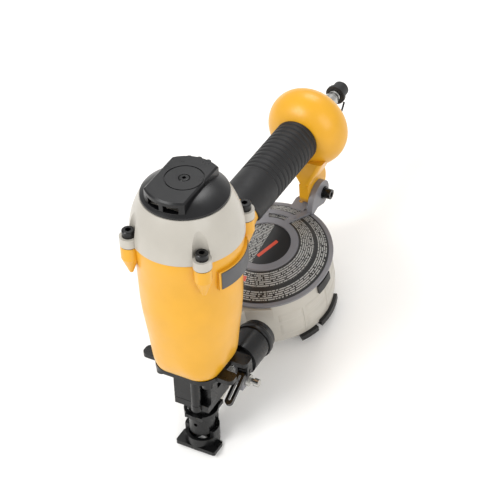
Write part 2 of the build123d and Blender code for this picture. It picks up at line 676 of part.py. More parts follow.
# --- Contact trip -------------------------------------------------------------------------
with BuildPart() as contact_foot:
    with BuildSketch(Plane.XY):
        with Locations((0, (FOOT_FRONT + FOOT_BACK) / 2)):
            RectangleRounded(2 * FOOT_HALF, FOOT_BACK - FOOT_FRONT, 2)
        with Locations((0, TUBE_Y)):
            Circle(13.8)
    extrude(amount=SOLE)
    with Locations((0, TUBE_Y, SOLE)):
        Cylinder(13.8, 13.6, align=BASE)
    span((-14, -14, 11), (14, -2, 20), Mode.SUBTRACT)
    with Locations((0, TUBE_Y, YOKE_TOP - YOKE_THICK)):
        Cylinder(13.8, YOKE_THICK, align=BASE)
    span((-7.5, -10.3, YOKE_TOP - YOKE_THICK), (7.5, 0, YOKE_TOP))
    span((-17, 9, YOKE_TOP - YOKE_THICK), (12, 17, YOKE_TOP))
    span((-7, 13, SOLE), (7, 17, YOKE_TOP))
    with Locations((0, TUBE_Y, SOLE)):
        Cylinder(TUBE_R + 0.4, 40, align=BASE, mode=Mode.SUBTRACT)
    with Locations((0, 0, 0)):
        Cylinder(5, SOLE, align=BASE, mode=Mode.SUBTRACT)
    split(bisect_by=FLOOR, keep=Keep.TOP)
save(contact_foot.part, "contact_foot")

with BuildPart() as contact_arm:
    with BuildLine() as arm_path:
        FilletPolyline(
            (-14, 12.5, ARM_FOOT_Z),
            (-30, 21, ARM_FOOT_Z),
            (-30, 21, 60),
            (ARM_X, ARM_Y, 104),
            (ARM_X, ARM_Y, 141),
            (-15, 45, 143),
            radius=4,
        )
    with BuildSketch(Plane(origin=arm_path.line @ 0, z_dir=arm_path.line % 0)):
        Circle(ARM_R)
    sweep()
save(contact_arm.part, "contact_arm")

with BuildPart() as depth_wheel:
    with Locations((ARM_X, ARM_Y, WHEEL_Z)):
        Cylinder(WHEEL_R, WHEEL_HEIGHT, align=BASE)
        with PolarLocations(WHEEL_R + 0.2, 16):
            Cylinder(0.7, WHEEL_HEIGHT, align=BASE, mode=Mode.SUBTRACT)
        Cylinder(ARM_R + GAP, WHEEL_HEIGHT, align=BASE, mode=Mode.SUBTRACT)
save(depth_wheel.part, "depth_wheel")

spring_foot = Plane(origin=(ARM_X, ARM_Y, GUIDE_Z - 10.7), x_dir=(1, 0, 0), z_dir=(0, 0, 1))
save(coil(spring_foot, 3.6, 0.6, 10.5, 5), "trip_spring")

# --- Feed ---------------------------------------------------------------------------------
with BuildPart() as feed_cylinder:
    with Locations(along_y(FEED_X, FEED_FRONT, FEED_Z)):
        Cylinder(FEED_R, 26.3, align=BASE)
    with Locations(along_y(FEED_X, 24.2, FEED_Z)):
        Cylinder(11, 2.5, align=BASE)
    span((9, NOSE_BACK, 66), (20, 34, 82))
    with Locations(along_y(FEED_X, 29.5, FEED_Z)):
        Cylinder(10, 30, align=BASE, mode=Mode.SUBTRACT)
    with Locations(along_y(FEED_X, 20, FEED_Z)):
        Cylinder(3 + GAP, 12, align=BASE, mode=Mode.SUBTRACT)
save(feed_cylinder.part, "feed_cylinder")

with BuildPart() as feed_end_cap:
    with Locations(along_y(FEED_X, 49, FEED_Z)):
        Cylinder(15.6, FEED_BACK - 49, align=BASE)
    with Locations(along_y(FEED_X, 49, FEED_Z)):
        Cylinder(FEED_R, 4, align=BASE, mode=Mode.SUBTRACT)
        Cylinder(10, 8, align=BASE, mode=Mode.SUBTRACT)
save(feed_end_cap.part, "feed_end_cap")

with BuildPart() as feed_piston:
    with Locations(along_y(FEED_X, 46, FEED_Z)):
        Cylinder(10 - GAP, 6, align=BASE)
    with Locations(along_y(FEED_X, 14, FEED_Z)):
        Cylinder(3, 34, align=BASE)
save(feed_piston.part, "feed_piston")

save(coil(along_y(FEED_X, 29.5, FEED_Z), 6.5, 0.8, 7, 3), "feed_spring")

with BuildPart() as feed_pawl:
    span((19, 14, 71), (32, 17, 78))
    span((29, 14, 56), (32, 23.5, 78))
    span((29, 18, 57), (32, 26.5, 65))
    span((3.6, 14, 60), (32, 17, 64))
    with Locations(along_y(FEED_X, 12, FEED_Z)):
        Cylinder(3, 8, align=BASE, mode=Mode.SUBTRACT)
    with Locations(along_x(26, BOLT_Y, BOLT_Z)):
        Cylinder(2.4, 8, align=BASE, mode=Mode.SUBTRACT)
save(feed_pawl.part, "feed_pawl")

with BuildPart() as pawl_bolt:
    with Locations(along_x(28, BOLT_Y, BOLT_Z)):
        Cylinder(2.4, 10.5, align=BASE)
    with Locations(along_x(32, BOLT_Y, BOLT_Z)):
        Cylinder(5, 2.6, align=BASE)
    with Locations(along_x(38.5, BOLT_Y, BOLT_Z)):
        Cylinder(3.3, 4, align=BASE)
save(pawl_bolt.part, "pawl_bolt")

# --- Drum magazine ------------------------------------------------------------------------
with BuildPart() as magazine_cover:
    with BuildSketch(DRUM_SIDE):
        with BuildLine():
            Polyline(
                (0, 9),
                (0, 11),
                (RING_IN, 11),
                (RING_IN, RING_TOP),
                (RING_OUT, RING_TOP),
                (RING_OUT + 0.4, 11.7),
                (51.2, -0.4),
                (RIM_R, -0.4),
                (RIM_R, -2.2),
                (50.8, -2.2),
                (27.4, 9),
                close=True,
            )
        make_face()
    revolve(axis=DRUM_AXIS)
    # arms over the label, and the web between them
    for angle in (75, 114):
        radial = Plane(
            origin=RIM_CENTRE,
            x_dir=DRUM.x_dir * cos(radians(angle)) + DRUM.y_dir * sin(radians(angle)),
            z_dir=DRUM.x_dir * sin(radians(angle)) - DRUM.y_dir * cos(radians(angle)),
        )
        with BuildSketch(radial):
            with BuildLine():
                Polyline((24, 10), (24, RING_TOP), (30, RING_TOP), (53, 1.4), (53, -1.8), close=True)
            make_face()
        extrude(amount=2.4, both=True)
    with BuildSketch(DRUM.offset(4)):
        add(sector(33.5, 37.5, 73, 116))
    extrude(amount=6.4)
    # tongue for the drum's hinge pin
    with BuildSketch(DRUM.offset(-2.2)):
        with Locations((PIN_X, PIN_Y)):
            Circle(6)
        with Locations((PIN_X, PIN_Y - 5)):
            Rectangle(12, 9)
    extrude(amount=4)
    with Locations(DRUM.offset(-4)):
        with Locations((PIN_X, PIN_Y, 0)):
            Cylinder(2, 8, align=BASE, mode=Mode.SUBTRACT)
    # strut up over the rim and back to the end cap's leg
    with BuildSketch(DRUM_CUT.offset(STRUT_BACK - RIM_CENTRE[0])):
        with BuildLine():
            Spline((49, -2.0), (52, 7), (59, 14), (67, 16.5), (76, 14), (81.5, 5), (78, -5), (70, -8))
            Polyline((70, -8), (60, -2.2), (49, -2.2), (49, -2.0))
        make_face()
    extrude(amount=STRUT_FACE - STRUT_BACK)
    with Locations(along_x(0, STRUT_Y, STRUT_Z)):
        Cylinder(3, 40, align=BASE, mode=Mode.SUBTRACT)
save(magazine_cover.part, "magazine_cover")

with BuildPart() as cover_label:
    with BuildSketch(DRUM_SIDE):
        with BuildLine():
            Polyline((28.2, 11.55), (28.2, 11.95), (50.9, 0.15), (50.9, -0.25), close=True)
        make_face()
    revolve(axis=DRUM_AXIS)
    with Locations(DRUM):
        with Locations((0, 0, 11)):
            Cylinder(RING_IN, 0.4, align=BASE)
    add(magazine_cover.part, mode=Mode.SUBTRACT)
save(cover_label.part, "cover_label")

with BuildPart() as drum:
    with BuildSketch(DRUM_SIDE):
        with BuildLine():
            Polyline(
                (0, DRUM_FLOOR),
                (FLOOR_R - 2, DRUM_FLOOR),
                (FLOOR_R, DRUM_FLOOR + 1.5),
                (WALL_R, DRUM_BEND),
                (WALL_R, DRUM_TOP),
                (0, DRUM_TOP),
                close=True,
            )
        make_face()
    revolve(axis=DRUM_AXIS)
    # throat that leads the nails to the nose, with its flat shoulder
    with BuildSketch(DRUM.offset(DRUM_FLOOR)):
        add(throat_outline(0, (24.1, -42.2)))
    with BuildSketch(DRUM.offset(DRUM_TOP - 1.6)):
        add(throat_outline(0, (28.5, -47.2)))
    loft()
    # lug for the hinge pin
    with BuildSketch(DRUM.offset(-18)):
        with Locations((PIN_X, PIN_Y)):
            Circle(6)
        with Locations((PIN_X, PIN_Y - 6)):
            Rectangle(12, 12)
    extrude(amount=18 + DRUM_TOP)
    # hollow of the drum and of the throat
    with BuildSketch(DRUM_SIDE):
        with BuildLine():
            Polyline(
                (0, DRUM_FLOOR + 3),
                (FLOOR_R - WALL, DRUM_FLOOR + 3),
                (WALL_R - WALL, DRUM_BEND),
                (WALL_R - WALL, DRUM_TOP + 1),
                (0, DRUM_TOP + 1),
                close=True,
            )
        make_face()
    revolve(axis=DRUM_AXIS, mode=Mode.SUBTRACT)
    with BuildSketch(DRUM.offset(DRUM_FLOOR + 3)):
        add(throat_outline(WALL, (20, -40)))
    extrude(amount=THROAT_HOLLOW, mode=Mode.SUBTRACT)
    span((-40, -20, 0), (40, THROAT_FRONT, 120), Mode.SUBTRACT)
    with Locations(DRUM.offset(-19)):
        with Locations((PIN_X, PIN_Y, 0)):
            Cylinder(2 + GAP, 20, align=BASE, mode=Mode.SUBTRACT)
save(drum.part, "drum")

with BuildPart() as drum_pads:
    # thumb tab on the wall, skid and corner pads at the bottom edge, rest pad under the rear
    for inner, outer, start, end, low, high in (
        (WALL_R - 0.4, WALL_R + 2.0, -13, 6, -15, -6),
        (FLOOR_R - 2, FLOOR_R + 3.2, -15.5, 18.5, -55.5, -50),
        (FLOOR_R - 9, FLOOR_R + 2.7, -38, -19.5, -58, -53),
        (FLOOR_R - 10, FLOOR_R, 62, 118, -60, -54),
    ):
        with BuildSketch(DRUM.offset(low)):
            add(sector(inner, outer, start, end))
        extrude(amount=high - low)
    split(bisect_by=FLOOR, keep=Keep.TOP)
    add(drum.part, mode=Mode.SUBTRACT)
save(drum_pads.part, "drum_pads")

with BuildPart() as nail_post:
    with Locations(DRUM.offset(DRUM_FLOOR + 3)):
        Cylinder(5, 44, align=BASE)
save(nail_post.part, "nail_post")

with BuildPart() as nail_platform:
    with Locations(DRUM.offset(PLATFORM)):
        Cylinder(46, 2, align=BASE)
        Cylinder(8, 12, align=BASE)
        Cylinder(5 + GAP, 14, align=BASE, mode=Mode.SUBTRACT)
save(nail_platform.part, "nail_platform")

with BuildPart() as drum_hinge_pin:
    with Locations(DRUM.offset(-17)):
        with Locations((PIN_X, PIN_Y, 0)):
            Cylinder(2, 19, align=BASE)
save(drum_hinge_pin.part, "drum_hinge_pin")

with BuildPart() as strut_bolt:
    with Locations(along_x(0.2, STRUT_Y, STRUT_Z)):
        Cylinder(3, STRUT_FACE - 0.2, align=BASE)
    with Locations(along_x(STRUT_FACE, STRUT_Y, STRUT_Z)):
        Cylinder(5.4, 1.4, align=BASE)
    with Locations(along_x(STRUT_FACE + 1.4, STRUT_Y, STRUT_Z)):
        Cylinder(4.3, 5.6, align=BASE)
    with BuildSketch(along_x(STRUT_FACE + 7, STRUT_Y, STRUT_Z)):
        RegularPolygon(2.4, 6)
    extrude(amount=-3, mode=Mode.SUBTRACT)
save(strut_bolt.part, "strut_bolt")

with BuildPart() as strut_nut:
    with BuildSketch(along_x(0.4, STRUT_Y, STRUT_Z)):
        RegularPolygon(5.6, 6)
        Circle(3, mode=Mode.SUBTRACT)
    extrude(amount=2.6)
save(strut_nut.part, "strut_nut")
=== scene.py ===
"""Looks for the coil nailer: finishes for the machined and moulded pieces, and the soft or printed
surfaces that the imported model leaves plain. Lengths are in millimetres in each sub-assembly's own
axes, and become metres when a surface is placed in the frame.
"""

import json
import logging
import math
from collections.abc import Iterable
from dataclasses import dataclass
from enum import Enum

import bmesh
import bpy
import numpy as np
from mathutils import Matrix, Vector


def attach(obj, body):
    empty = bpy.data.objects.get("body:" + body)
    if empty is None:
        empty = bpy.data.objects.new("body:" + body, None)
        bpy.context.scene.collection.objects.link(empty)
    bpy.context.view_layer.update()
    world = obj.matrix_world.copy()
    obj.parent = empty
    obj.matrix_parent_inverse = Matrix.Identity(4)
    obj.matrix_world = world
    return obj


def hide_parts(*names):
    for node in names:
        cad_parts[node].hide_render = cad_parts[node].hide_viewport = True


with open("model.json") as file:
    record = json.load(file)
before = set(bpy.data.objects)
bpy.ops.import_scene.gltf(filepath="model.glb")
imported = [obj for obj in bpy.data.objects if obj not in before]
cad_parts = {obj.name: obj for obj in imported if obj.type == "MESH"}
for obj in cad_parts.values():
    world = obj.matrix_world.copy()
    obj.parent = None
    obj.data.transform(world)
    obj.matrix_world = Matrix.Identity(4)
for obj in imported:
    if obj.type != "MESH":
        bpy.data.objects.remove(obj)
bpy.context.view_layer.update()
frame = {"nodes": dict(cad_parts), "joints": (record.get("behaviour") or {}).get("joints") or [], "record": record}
log = logging.getLogger("coil_nailer")

JOINTS = {joint["name"]: joint for joint in frame["joints"]}
MM = 0.001

# Height of the deflector's joint above the foot's sole, in millimetres
DEFLECTOR_JOINT_HEIGHT = 255.0
# Place of the drum's hinge pin from the drum's axis: to the side and towards the rear
PIN_SIDE, PIN_REACH = 3.6, 58.4
# Points closer than this are one point, in metres
WELD_DISTANCE = 1e-6
# Most of a noise texture's values lie between these two
NOISE_LOW, NOISE_HIGH = 0.3, 0.7
# A wave texture of scale 1 shows this many bands in one unit
BANDS_PER_SCALE = 20.0
# Patches of drifting colour and of drifting gloss, as noise scales in cycles per metre
PATCH_SCALE, SMEAR_SCALE = 40.0, 90.0


class Body(Enum):
    """The moving groups that new pieces ride on."""

    HOUSING = "housing"
    DRUM = "drum"


# --- Axes ---------------------------------------------------------------------------------


@dataclass(frozen=True)
class Axes:
    """A right-handed set of axes somewhere in the frame: an origin in metres and three unit vectors."""

    origin: Vector
    x: Vector
    y: Vector
    z: Vector

    def place(self, local: np.ndarray) -> np.ndarray:
        """Turns points in millimetres along these axes into points in metres in the frame.

        Args:
            local: points, shape (..., 3).

        Returns:
            Points of the same shape: origin + (x, y, z) . axes / 1000.
        """
        turn = np.array([self.x, self.y, self.z], float)
        return np.array(self.origin, float) + (local * MM) @ turn

    def euler(self) -> tuple[float, float, float]:
        """Gives the rotation of these axes as XYZ Euler angles, in radians."""
        turn = Matrix((self.x, self.y, self.z)).transposed()
        return tuple(turn.to_euler())


def tool_axes() -> Axes:
    """Finds the tool's own axes: z up the drive line, y along the handle, origin at the foot's sole."""
    turn = JOINTS["deflector_turn"]
    z = Vector(turn["axis"]).normalized()
    x = Vector((1.0, 0.0, 0.0))
    return Axes(Vector(turn["pos_m"]) - z * DEFLECTOR_JOINT_HEIGHT * MM, x, z.cross(x), z)


def drum_axes() -> Axes:
    """Finds the magazine's axes: z up the drum's axis, y to the hinge pin, origin in the rim's plane."""
    swing = JOINTS["drum_swing"]
    z = -Vector(swing["axis"]).normalized()
    x = Vector((1.0, 0.0, 0.0))
    y = z.cross(x)
    return Axes(Vector(swing["pos_m"]) - (x * PIN_SIDE + y * PIN_REACH) * MM, x, y, z)


TOOL = tool_axes()
DRUM = drum_axes()


# --- Node and mesh helpers ----------------------------------------------------------------


def linear(hex_colour: str) -> tuple[float, float, float, float]:
    """Turns an sRGB hex colour into linear RGBA: dark values by 12.92, the others by a power of 2.4.

    Args:
        hex_colour: six hex digits with a leading '#'.

    Returns:
        Linear red, green, blue and an alpha of 1.
    """
    parts = [int(hex_colour[i : i + 2], 16) / 255.0 for i in (1, 3, 5)]
    curve = [c / 12.92 if c <= 0.04045 else ((c + 0.055) / 1.055) ** 2.4 for c in parts]
    return (*curve, 1.0)


def add_node(
    tree: bpy.types.NodeTree,
    kind: str,
    values: dict[str | int, object] | None = None,
    links: dict[str | int, bpy.types.NodeSocket] | None = None,
) -> bpy.types.Node:
    """Adds a shader node, sets its options and inputs, and links sockets into it.

    Args:
        tree: the material's node tree.
        kind: the node's type, such as 'ShaderNodeMath'.
        values: input names or numbers, or option names, with their values.
        links: input names or numbers, with the sockets that feed them.

    Returns:
        The new node.
    """
    node = tree.nodes.new(kind)
    for name, value in (values or {}).items():
        if isinstance(name, str) and name not in node.inputs:
            setattr(node, name, value)
        else:
            node.inputs[name].default_value = value
    for name, socket in (links or {}).items():
        tree.links.new(socket, node.inputs[name])
    return node


def grid_faces(rows: int, columns: int, close_rows: bool, close_columns: bool) -> np.ndarray:
    """Lists the quads of a grid of points numbered row by row.

    Args:
        rows: points along the first parameter.
        columns: points along the second parameter.
        close_rows: joins the last row to the first.
        close_columns: joins the last column to the first.

    Returns:
        Vertex numbers, shape (quads, 4).
    """
    i = np.arange(rows if close_rows else rows - 1)
    j = np.arange(columns if close_columns else columns - 1)
    i, j = [a.ravel() for a in np.meshgrid(i, j, indexing="ij")]
    down, right = (i + 1) % rows, (j + 1) % columns
    return np.stack([i * columns + j, down * columns + j, down * columns + right, i * columns + right], 1)


def build_piece(
    name: str,
    parts: list[tuple[np.ndarray, np.ndarray]],
    axes: Axes,
) -> bpy.types.Object:
    """Makes one smooth mesh object from surfaces given in millimetres along some axes.

    Points that fall together, such as those of a turned surface on its axis, are welded.

    Args:
        name: the piece's name.
        parts: pairs of points (n, 3) and faces (m, 3 or 4).
        axes: the axes that the points are measured along.

    Returns:
        The new object, at the frame's origin with its place in its mesh.
    """
    points = np.concatenate([p.reshape(-1, 3) for p, _ in parts])
    faces: list[list[int]] = []
    start = 0
    for part_points, part_faces in parts:
        faces.extend((part_faces + start).tolist())
        start += len(part_points.reshape(-1, 3))
    mesh = bpy.data.meshes.new(name)
    mesh.from_pydata(axes.place(points), [], faces)
    mesh.polygons.foreach_set("use_smooth", np.full(len(mesh.polygons), True))
    weld = bmesh.new()
    weld.from_mesh(mesh)
    bmesh.ops.remove_doubles(weld, verts=weld.verts, dist=WELD_DISTANCE)
    weld.to_mesh(mesh)
    weld.free()
    piece = bpy.data.objects.new(name, mesh)
    bpy.context.scene.collection.objects.link(piece)
    return piece


def turned(profile: list[tuple[float, float]], steps: int = 160) -> tuple[np.ndarray, np.ndarray]:
    """Turns a profile about z: the point at angle a is (r cos a, r sin a, z).

    Args:
        profile: radius and height pairs, which run upwards along the outside.
        steps: points round the turn.

    Returns:
        Points and faces.
    """
    angle = np.linspace(0, 2 * np.pi, steps, endpoint=False)[:, None]
    radius, height = np.array(profile, float).T[:, None, :]
    points = np.stack([radius * np.cos(angle), radius * np.sin(angle), height + 0 * angle], -1)
    return points, grid_faces(steps, len(profile), True, False)


# --- Finishes -----------------------------------------------------------------------------


@dataclass(frozen=True)
class Finish:
    """A surface finish: its colour, gloss and fine texture.

    The texture is noise over Object coordinates. `grain_mm` is the size of one grain, `relief_mm`
    its height, `mottle` the share by which the colour drifts, and `haze` the drift in roughness.
    """

    name: str
    colour: str
    roughness: float
    metallic: float = 0.0
    ior: float = 1.5
    coat: float = 0.0
    coat_roughness: float = 0.1
    grain_mm: float = 0.8
    relief_mm: float = 0.02
    mottle: float = 0.04
    haze: float = 0.06

    def coordinates(self, tree: bpy.types.NodeTree) -> bpy.types.NodeSocket:
        """Gives the coordinates that the texture is measured in, in metres."""
        return add_node(tree, "ShaderNodeTexCoord").outputs["Object"]

    def relief(self, tree: bpy.types.NodeTree, where: bpy.types.NodeSocket) -> bpy.types.NodeSocket:
        """Gives the height of the surface, from 0 to 1: plain noise, one grain across."""
        values = {"Scale": 1.0 / (self.grain_mm * MM), "Detail": 3.0, "Roughness": 0.55}
        return add_node(tree, "ShaderNodeTexNoise", values, {"Vector": where}).outputs["Fac"]

    def paint(self, tree: bpy.types.NodeTree, where: bpy.types.NodeSocket) -> bpy.types.NodeSocket:
        """Gives the colour: the finish's own, drifting slowly over patches about 25 mm wide.

        Args:
            tree: the material's node tree.
            where: the coordinates, in metres.

        Returns:
            A colour socket.
        """
        values = {"Scale": PATCH_SCALE, "Detail": 4.0}
        patch = add_node(tree, "ShaderNodeTexNoise", values, {"Vector": where})
        shade = add_node(
            tree,
            "ShaderNodeMapRange",
            {
                "From Min": NOISE_LOW,
                "From Max": NOISE_HIGH,
                "To Min": 1.0 - self.mottle,
                "To Max": 1.0 + self.mottle,
            },
            {"Value": patch.outputs["Fac"]},
        )
        own = linear(self.colour)
        return add_node(
            tree,
            "ShaderNodeVectorMath",
            {"operation": "SCALE", 0: own[:3]},
            {"Scale": shade.outputs["Result"]},
        ).outputs["Vector"]

    def build(self) -> bpy.types.Material:
        """Makes the material: paint for colour, noise for roughness and relief for its bumps.

        Returns:
            The new material.
        """
        material = bpy.data.materials.new(self.name)
        material.use_nodes = True
        tree = material.node_tree
        tree.nodes.clear()
        where = self.coordinates(tree)
        values = {"Scale": SMEAR_SCALE, "Detail": 5.0}
        smear = add_node(tree, "ShaderNodeTexNoise", values, {"Vector": where})
        gloss = add_node(
            tree,
            "ShaderNodeMapRange",
            {
                "From Min": NOISE_LOW,
                "From Max": NOISE_HIGH,
                "To Min": max(0.02, self.roughness - self.haze),
                "To Max": min(1.0, self.roughness + self.haze),
            },
            {"Value": smear.outputs["Fac"]},
        )
        bump = add_node(
            tree,
            "ShaderNodeBump",
            {"Strength": 0.6, "Distance": self.relief_mm * MM},
            {"Height": self.relief(tree, where)},
        )
        shader = add_node(
            tree,
            "ShaderNodeBsdfPrincipled",
            {
                "Metallic": self.metallic,
                "IOR": self.ior,
                "Coat Weight": self.coat,
                "Coat Roughness": self.coat_roughness,
            },
            {
                "Base Color": self.paint(tree, where),
                "Roughness": gloss.outputs["Result"],
                "Normal": bump.outputs["Normal"],
            },
        )
        add_node(tree, "ShaderNodeOutputMaterial", {}, {"Surface": shader.outputs["BSDF"]})
        return material


@dataclass(frozen=True)
class TurnedMetal(Finish):
    """Metal cut on a lathe: fine rings of tool marks across an axis of the tool."""

    along: Axes = TOOL
    pitch_mm: float = 0.45

    def relief(self, tree: bpy.types.NodeTree, where: bpy.types.NodeSocket) -> bpy.types.NodeSocket:
        """Gives the tool marks: a wave along the axes' z, one pitch long, broken by noise.

        Args:
            tree: the material's node tree.
            where: the coordinates, in metres.

        Returns:
            The height of the surface, from 0 to 1.
        """
        local = add_node(
            tree,
            "ShaderNodeMapping",
            {"vector_type": "TEXTURE", "Location": self.along.origin, "Rotation": self.along.euler()},
            {"Vector": where},
        )
        return add_node(
            tree,
            "ShaderNodeTexWave",
            {
                "bands_direction": "Z",
                "Scale": 1.0 / (self.pitch_mm * MM) / BANDS_PER_SCALE,
                "Distortion": 1.2,
                "Detail": 2.0,
            },
            {"Vector": local.outputs["Vector"]},
        ).outputs["Fac"]


Term = float | bpy.types.NodeSocket


@dataclass(frozen=True)
class Sums:
    """Arithmetic on numbers and sockets in one shader tree."""

    tree: bpy.types.NodeTree

    def work(self, operation: str, *terms: Term) -> bpy.types.NodeSocket:
        """Works out one step of arithmetic.

        Args:
            operation: the math node's operation, such as 'MULTIPLY'.
            terms: numbers or sockets, in order.

        Returns:
            The result's socket.
        """
        values: dict[str | int, object] = {"operation": operation}
        links: dict[str | int, bpy.types.NodeSocket] = {}
        for place, term in enumerate(terms):
            (links if isinstance(term, bpy.types.NodeSocket) else values)[place] = term
        return add_node(self.tree, "ShaderNodeMath", values, links).outputs[0]

    def inverse(self, share: Term) -> bpy.types.NodeSocket:
        """Gives one minus a share."""
        return self.work("SUBTRACT", 1.0, share)

    def both(self, first: Term, second: Term) -> bpy.types.NodeSocket:
        """Gives 1 where both conditions hold."""
        return self.work("MULTIPLY", first, second)

    def between(self, value: Term, low: float, high: float) -> bpy.types.NodeSocket:
        """Gives 1 where a value lies between two limits."""
        return self.both(self.work("GREATER_THAN", value, low), self.work("LESS_THAN", value, high))

    def either(self, choice: Term, yes: Term, no: Term) -> bpy.types.NodeSocket:
        """Gives yes where the choice is 1 and no where it is 0."""
        return self.work("ADD", self.both(yes, choice), self.both(no, self.inverse(choice)))

    def mix(self, share: Term, low: object, high: object) -> bpy.types.NodeSocket:
        """Mixes two colours.

        Args:
            share: 0 gives the low colour and 1 the high one.
            low: a socket or linear RGBA.
            high: a socket or linear RGBA.

        Returns:
            The mixed colour's socket.
        """
        values: dict[str | int, object] = {"data_type": "RGBA"}
        links: dict[str | int, bpy.types.NodeSocket] = {0: share}
        for place, colour in ((6, low), (7, high)):
            (links if isinstance(colour, bpy.types.NodeSocket) else values)[place] = colour
        return add_node(self.tree, "ShaderNodeMix", values, links).outputs[2]


@dataclass(frozen=True)
class Bar:
    """A plain bar on the label: its middle, its tilt in degrees and its half sizes in millimetres."""

    x: float
    y: float
    tilt: float
    half_length: float
    half_width: float

    def inside(self, sums: Sums, x: Term, y: Term) -> bpy.types.NodeSocket:
        """Gives 1 inside the bar: both turned distances from its middle are under its half sizes.

        Args:
            sums: arithmetic in the label's tree.
            x: distance across the lid in millimetres.
            y: distance along the lid in millimetres.

        Returns:
            A socket that is 1 inside the bar and 0 elsewhere.
        """
        c, s = math.cos(math.radians(self.tilt)), math.sin(math.radians(self.tilt))
        dx, dy = sums.work("SUBTRACT", x, self.x), sums.work("SUBTRACT", y, self.y)
        down = sums.work("ADD", sums.work("MULTIPLY", dx, c), sums.work("MULTIPLY", dy, s))
        side = sums.work("SUBTRACT", sums.work("MULTIPLY", dy, c), sums.work("MULTIPLY", dx, s))
        return sums.both(
            sums.work("LESS_THAN", sums.work("ABSOLUTE", down), self.half_length),
            sums.work("LESS_THAN", sums.work("ABSOLUTE", side), self.half_width),
        )


@dataclass(frozen=True)
class PrintedLabel(Finish):
    """A printed film on the magazine's lid: pale rings of plain dashes on near-black, with red bars.

    Ring k lies between radii k and k + 1 times `ring_mm`. The middle disc, inside `disc`, carries
    straight rows of the same width, down to `disc_end` along x. The ink covers the upper part of
    each line, and a dash ends where noise along the line falls to `gap`. Nothing on it can be read.
    `arc` turns an angle into a length, and `dash` and `shift` stretch the noise along and across.
    """

    ink: str = "#9f9e9a"
    alert: str = "#c4452c"
    ring_mm: float = 1.45
    disc: float = 27.8
    disc_end: float = -1.0
    gap: float = 0.42
    arc: float = 40.0
    dash: float = 0.75
    shift: float = 5.31
    bare_rings: tuple[tuple[float, float], ...] = ((27.0, 29.6), (39.8, 42.4), (49.6, 60.0))
    bars: tuple[Bar, ...] = (
        Bar(4.5, -3.0, 68.0, 10.5, 1.5),
        Bar(-8.0, -35.5, 4.0, 9.0, 1.9),
        Bar(-10.5, -46.4, 12.0, 6.5, 1.7),
    )

    def dashes(self, sums: Sums, x: Term, y: Term) -> bpy.types.NodeSocket:
        """Gives 1 where there is pale ink.

        Args:
            sums: arithmetic in the label's tree.
            x: distance across the lid in millimetres.
            y: distance along the lid, towards the hinge pin, in millimetres.

        Returns:
            A socket that is 1 on a dash and 0 elsewhere.
        """
        square = sums.work("ADD", sums.work("MULTIPLY", x, x), sums.work("MULTIPLY", y, y))
        radius = sums.work("SQRT", square)
        outer = sums.work("GREATER_THAN", radius, self.disc)
        across = sums.work("DIVIDE", sums.either(outer, radius, y), self.ring_mm)
        line, height = sums.work("FLOOR", across), sums.work("FRACT", across)
        turn = sums.work("MULTIPLY", sums.work("ARCTAN2", y, x), self.arc)
        along = sums.either(outer, turn, x)
        seat = add_node(
            sums.tree,
            "ShaderNodeCombineXYZ",
            {},
            {0: sums.work("MULTIPLY", along, self.dash), 1: sums.work("MULTIPLY", line, self.shift)},
        )
        noise = {"Scale": 1.0, "Detail": 1.0}
        words = add_node(sums.tree, "ShaderNodeTexNoise", noise, {"Vector": seat.outputs[0]})
        ink = sums.both(
            sums.work("GREATER_THAN", words.outputs["Fac"], self.gap),
            sums.work("GREATER_THAN", height, self.gap),
        )
        for low, high in self.bare_rings:
            ink = sums.both(ink, sums.inverse(sums.between(radius, low, high)))
        past_end = sums.work("GREATER_THAN", x, self.disc_end)
        return sums.both(ink, sums.inverse(sums.both(past_end, sums.inverse(outer))))

    def paint(self, tree: bpy.types.NodeTree, where: bpy.types.NodeSocket) -> bpy.types.NodeSocket:
        """Gives the print: black film, then pale dashes, then the red bars.

        Args:
            tree: the material's node tree.
            where: the coordinates, in metres.

        Returns:
            A colour socket.
        """
        values = {
            "vector_type": "TEXTURE",
            "Location": DRUM.origin,
            "Rotation": DRUM.euler(),
            "Scale": (MM, MM, MM),
        }
        local = add_node(tree, "ShaderNodeMapping", values, {"Vector": where})
        split = add_node(tree, "ShaderNodeSeparateXYZ", {}, {0: local.outputs["Vector"]})
        x, y = split.outputs["X"], split.outputs["Y"]
        sums = Sums(tree)
        film = sums.mix(self.dashes(sums, x, y), linear(self.colour), linear(self.ink))
        for bar in self.bars:
            film = sums.mix(bar.inside(sums, x, y), film, linear(self.alert))
        return film


# Polyester powder coat over cast magnesium: an even, slightly pebbled, half-gloss skin
ORANGE_POWDER_COAT = Finish("powder_coat_orange", "#dda11c", 0.36, coat=0.1, grain_mm=0.9, relief_mm=0.03)
# Baked enamel over cast aluminium: pale and warm, with the soft unevenness of a casting
CREAM_ENAMEL = Finish("enamel_warm_white", "#b7b2a8", 0.36, coat=0.12, grain_mm=1.3, relief_mm=0.03)
# Grey enamel over stamped and cast parts
GREY_ENAMEL = Finish("enamel_grey", "#77767a", 0.42, grain_mm=1.0, relief_mm=0.03)
# Glass-filled nylon from a spark-eroded mould: black with a fine matt grain
BLACK_NYLON = Finish("nylon_moulded_black", "#0b0b0d", 0.32, ior=1.45, grain_mm=0.45, relief_mm=0.035)
# Black oxide on machined steel: oily black with a low sheen
BLACK_OXIDE = Finish(
    "steel_black_oxide", "#0a0a0b", 0.3, metallic=0.2, grain_mm=0.5, relief_mm=0.02, mottle=0.15, haze=0.12
)
# Natural rubber moulded in a grained tool: no shine, and grains a third of a millimetre across
GRIP_RUBBER = Finish("rubber_moulded_grip", "#111113", 0.55, ior=1.45, grain_mm=0.35, relief_mm=0.06)
SEAL_RUBBER = Finish("rubber_moulded_seal", "#0b0b0b", 0.5, ior=1.5, grain_mm=0.5, relief_mm=0.03)
